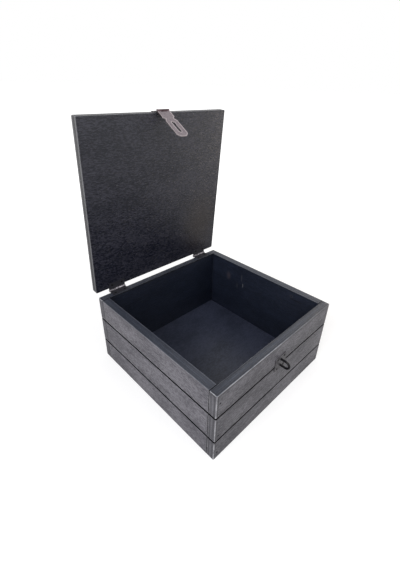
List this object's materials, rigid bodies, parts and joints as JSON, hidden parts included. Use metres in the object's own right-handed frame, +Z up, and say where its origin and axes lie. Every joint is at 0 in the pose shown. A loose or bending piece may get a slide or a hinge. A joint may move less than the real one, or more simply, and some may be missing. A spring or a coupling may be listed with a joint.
{
  "type": "hinged wooden display case",
  "caption": "Square black-stained wooden case for pins, with sawn grooves round its walls, a lid on butt hinges and a hasp with a slotted strap over a staple.",
  "frame": {"origin": "centre of the box's underside", "axes": "+X to the right along the front wall, +Y from the front wall to the hinges, +Z up"},
  "size_m": [0.25, 0.2814, 0.3722],
  "materials": {
    "wall_wood": "black stain, open grain",
    "floor_board": "black stain, smooth",
    "lid_wood": "black stain, fine grain",
    "hinge_metal": "dark bronze",
    "pin_steel": "bare steel",
    "hasp_metal": "dull pewter",
    "staple_metal": "dark grey",
    "loop_metal": "black",
    "screw_metal": "blackened",
    "nail_metal": "blackened"
  },
  "bodies": {
    "box": {"front_wall": "wall_wood", "back_wall": "wall_wood", "left_wall": "wall_wood", "right_wall": "wall_wood", "floor_panel": "floor_board", "hinge_left_box_leaf": "hinge_metal", "hinge_left_pin": "pin_steel", "hinge_right_box_leaf": "hinge_metal", "hinge_right_pin": "pin_steel", "hinge_box_screws": "screw_metal", "staple_plate": "staple_metal", "staple_loop": "loop_metal", "staple_screws": "screw_metal", "front_nails": "nail_metal", "back_nails": "nail_metal", "floor_brads": "nail_metal"},
    "lid": {"lid_panel": "lid_wood", "hinge_left_lid_leaf": "hinge_metal", "hinge_right_lid_leaf": "hinge_metal", "hinge_lid_screws": "screw_metal", "hasp_leaf": "hasp_metal", "hasp_screws": "hasp_metal"},
    "hasp_pin": {"hasp_pin": "pin_steel"},
    "hasp_strap": {"hasp_strap": "hasp_metal"}
  },
  "joints": [
    {"name": "lid_hinge", "type": "hinge", "parent": "box", "child": "lid", "pos_m": [0, 0.1298, 0.11365], "axis": [-1, 0, 0], "range_deg": [-86, 14]},
    {"name": "strap_lift", "type": "hinge", "parent": "lid", "child": "hasp_pin", "pos_m": [0, 0.11249, 0.37047], "axis": [-1, 0, 0], "range_deg": [-9, 51]},
    {"name": "strap_hinge", "type": "hinge", "parent": "hasp_pin", "child": "hasp_strap", "pos_m": [0, 0.11249, 0.37047], "axis": [-1, 0, 0], "range_deg": [-22, 100]}
  ],
  "couplings": [
    {"joint": "strap_lift", "follows": "lid_hinge", "ratio": -0.59}
  ]
}
